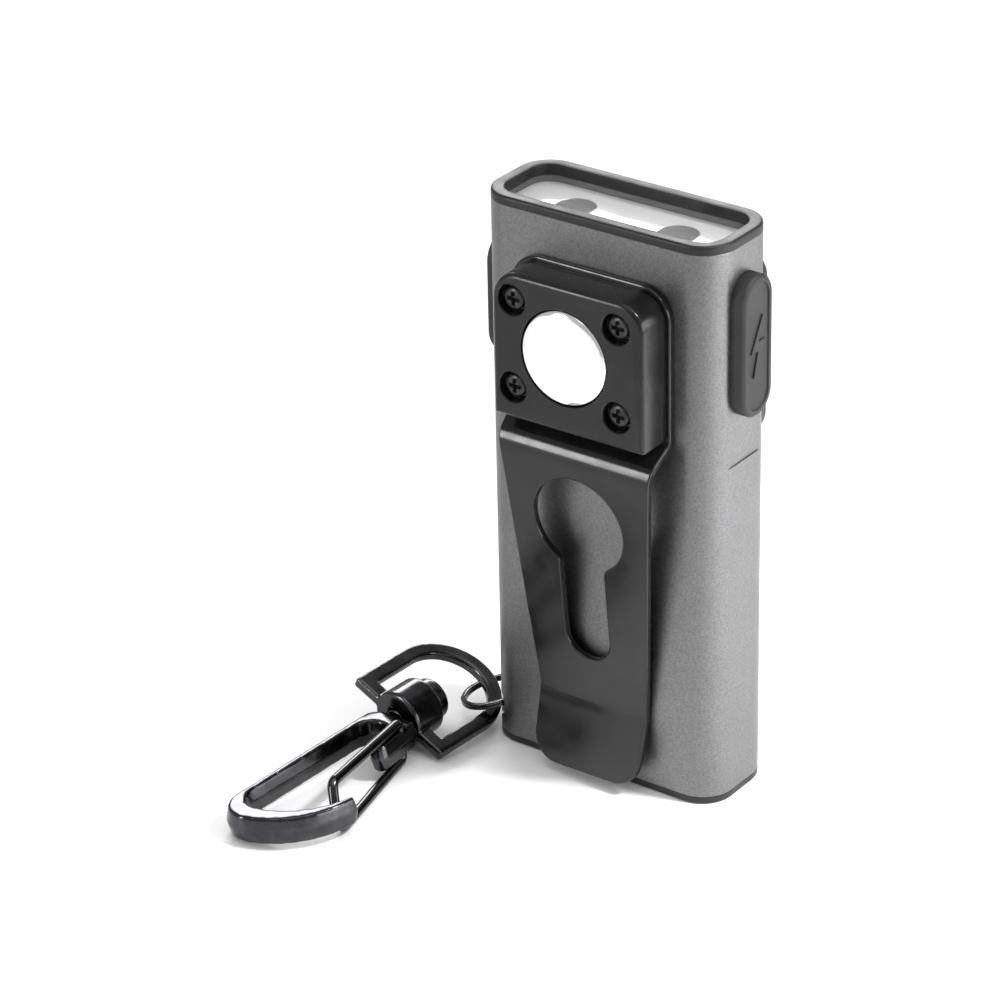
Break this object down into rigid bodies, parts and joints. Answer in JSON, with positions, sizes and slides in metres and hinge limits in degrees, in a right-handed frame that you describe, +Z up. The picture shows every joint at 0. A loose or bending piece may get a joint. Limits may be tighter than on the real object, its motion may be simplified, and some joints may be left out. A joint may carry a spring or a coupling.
{
  "type": "keychain flashlight",
  "caption": "Flat metal keychain flashlight with twin front lights, rear flood light, round magnet, keyhole belt clip, side button, covered charging port, ring and swivel snap hook.",
  "frame": {"origin": "centre of the flat bottom face of the end cap, below the middle of the tube", "axes": "+X across the width towards the charging port, -Y out of the face that carries the magnet and clip, +Z up towards the twin lights"},
  "size_m": [0.042, 0.0452, 0.0621],
  "materials": {
    "anodised_tube": "fine bead-blasted grey anodising",
    "black_plastic": "fine matt texture",
    "black_rubber": "matt",
    "clear_lens": "clear polished",
    "mirror_reflector": "vacuum metallised, mirror bright",
    "white_board": "white solder mask",
    "led_phosphor": "smooth pale yellow",
    "black_gloss_plastic": "semi-gloss moulded",
    "nickel_magnet": "nickel plated, mirror bright",
    "black_screw": "black oxide",
    "zinc_plate": "zinc plated",
    "black_clip": "semi-gloss black coating on spring steel",
    "grey_rubber": "matt dark grey",
    "white_plastic": "plain moulded",
    "socket_steel": "tin plated",
    "green_board": "green solder mask",
    "cell_wrap": "foil pouch",
    "lead_insulation": "red insulation",
    "black_nickel": "polished black nickel plating"
  },
  "bodies": {
    "body": {"body_tube": "anodised_tube", "end_cap": "black_plastic", "front_bezel": "black_plastic", "lens_seal": "black_rubber", "lens": "clear_lens", "reflector": "mirror_reflector", "light_board": "white_board", "spot_chips": "led_phosphor", "magnet_holder": "black_gloss_plastic", "magnet": "nickel_magnet", "holder_screws": "black_screw", "nut_plate": "zinc_plate", "clip_plate": "black_clip", "push_switch": "black_plastic", "cover_anchor": "grey_rubber", "usb_socket": "socket_steel", "flood_bezel": "black_plastic", "flood_lens": "clear_lens", "flood_seal": "black_rubber", "flood_board": "white_board", "flood_emitter": "led_phosphor", "main_board": "green_board", "board_carrier": "white_plastic", "battery": "cell_wrap", "battery_pads": "black_rubber", "battery_leads": "lead_insulation"},
    "clip": {"clip_arm": "black_clip"},
    "button": {"power_button": "grey_rubber"},
    "plunger": {"switch_plunger": "white_plastic"},
    "cover": {"usb_cover": "grey_rubber"},
    "ring": {"jump_ring": "black_nickel"},
    "bow": {"swivel_bow": "black_nickel"},
    "hook": {"snap_hook": "black_nickel", "swivel_pin": "black_nickel"},
    "gate": {"snap_gate": "black_nickel"}
  },
  "joints": [
    {"name": "button_press", "type": "slide", "parent": "body", "child": "button", "axis": [1, 0, 0], "range_m": [0, 0.0004], "stiffness_N_per_m": 1500},
    {"name": "plunger_press", "type": "slide", "parent": "body", "child": "plunger", "axis": [1, 0, 0], "range_m": [0, 0.0004]},
    {"name": "cover_hinge", "type": "hinge", "parent": "body", "child": "cover", "pos_m": [0.01478, 0, 0.04371], "axis": [0, 1, 0], "range_deg": [0, 90], "stiffness_Nm_per_rad": 0.002},
    {"name": "clip_flex", "type": "hinge", "parent": "body", "child": "clip", "pos_m": [0, -0.0063, 0.0407], "axis": [-1, 0, 0], "range_deg": [0, 8], "stiffness_Nm_per_rad": 1.2},
    {"name": "ring_swing", "type": "hinge", "parent": "body", "child": "ring", "pos_m": [-0.01325, -0.00181, 0.00357], "axis": [-0.1672, 0.9858, 0.0187], "range_deg": [-4, 18]},
    {"name": "bow_turn", "type": "hinge", "parent": "ring", "child": "bow", "pos_m": [-0.01577, -0.00201, 0.00285], "axis": [-0.2689, -0.0638, 0.961], "range_deg": [-45, 3]},
    {"name": "hook_swivel", "type": "hinge", "parent": "bow", "child": "hook", "pos_m": [-0.02029, -0.01214, 0.0032], "axis": [0.0871, 0.9956, 0.0349], "continuous": true},
    {"name": "gate_open", "type": "hinge", "parent": "hook", "child": "gate", "pos_m": [-0.01787, -0.01575, 0.00277], "axis": [0.0725, 0.0286, -0.997], "range_deg": [0, 20], "stiffness_Nm_per_rad": 0.02}
  ],
  "couplings": [
    {"joint": "plunger_press", "follows": "button_press", "ratio": 1}
  ]
}
